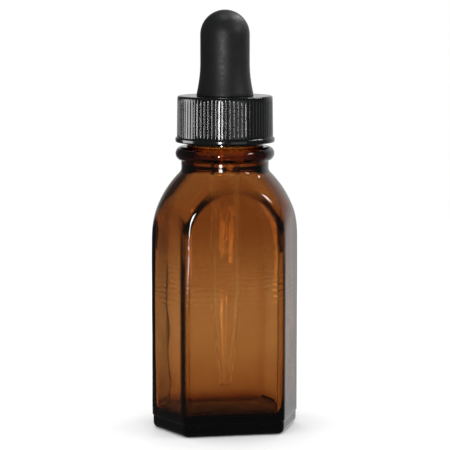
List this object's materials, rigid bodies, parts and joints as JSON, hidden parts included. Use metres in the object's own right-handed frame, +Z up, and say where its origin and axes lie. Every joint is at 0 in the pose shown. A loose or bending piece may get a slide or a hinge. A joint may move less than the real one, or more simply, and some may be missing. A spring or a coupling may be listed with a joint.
{
  "type": "dropper bottle",
  "caption": "Six-sided amber glass dropper bottle with a domed shoulder; its ribbed screw cap, rubber bulb and glass pipette unscrew and rise together to draw up and drip liquid",
  "frame": {"origin": "centre of the base, on the surface that the bottle stands on", "axes": "+Z up along the neck; X through the two side corners of the six-sided body; -Y out of the front panel"},
  "size_m": [0.0344, 0.0258, 0.0972],
  "materials": {
    "amber_glass": "smooth moulded amber glass",
    "black_cap": "glossy moulded black plastic, fine upright ribs",
    "black_rubber": "matte black rubber",
    "clear_glass": "smooth drawn clear glass"
  },
  "bodies": {
    "bottle": {"glass_bottle": "amber_glass"},
    "dropper": {"rubber_bulb": "black_rubber", "glass_pipette": "clear_glass"},
    "cap": {"screw_cap": "black_cap"}
  },
  "joints": [
    {"name": "dropper_rise", "type": "slide", "parent": "bottle", "child": "dropper", "axis": [0, 0, 1], "range_m": [0, 0.00635]},
    {"name": "cap_turn", "type": "hinge", "parent": "dropper", "child": "cap", "pos_m": [0, 0, 0.072], "axis": [0, 0, 1], "range_deg": [0, 720]}
  ],
  "couplings": [
    {"joint": "dropper_rise", "follows": "cap_turn", "m_per_rad": 0.00050532}
  ]
}
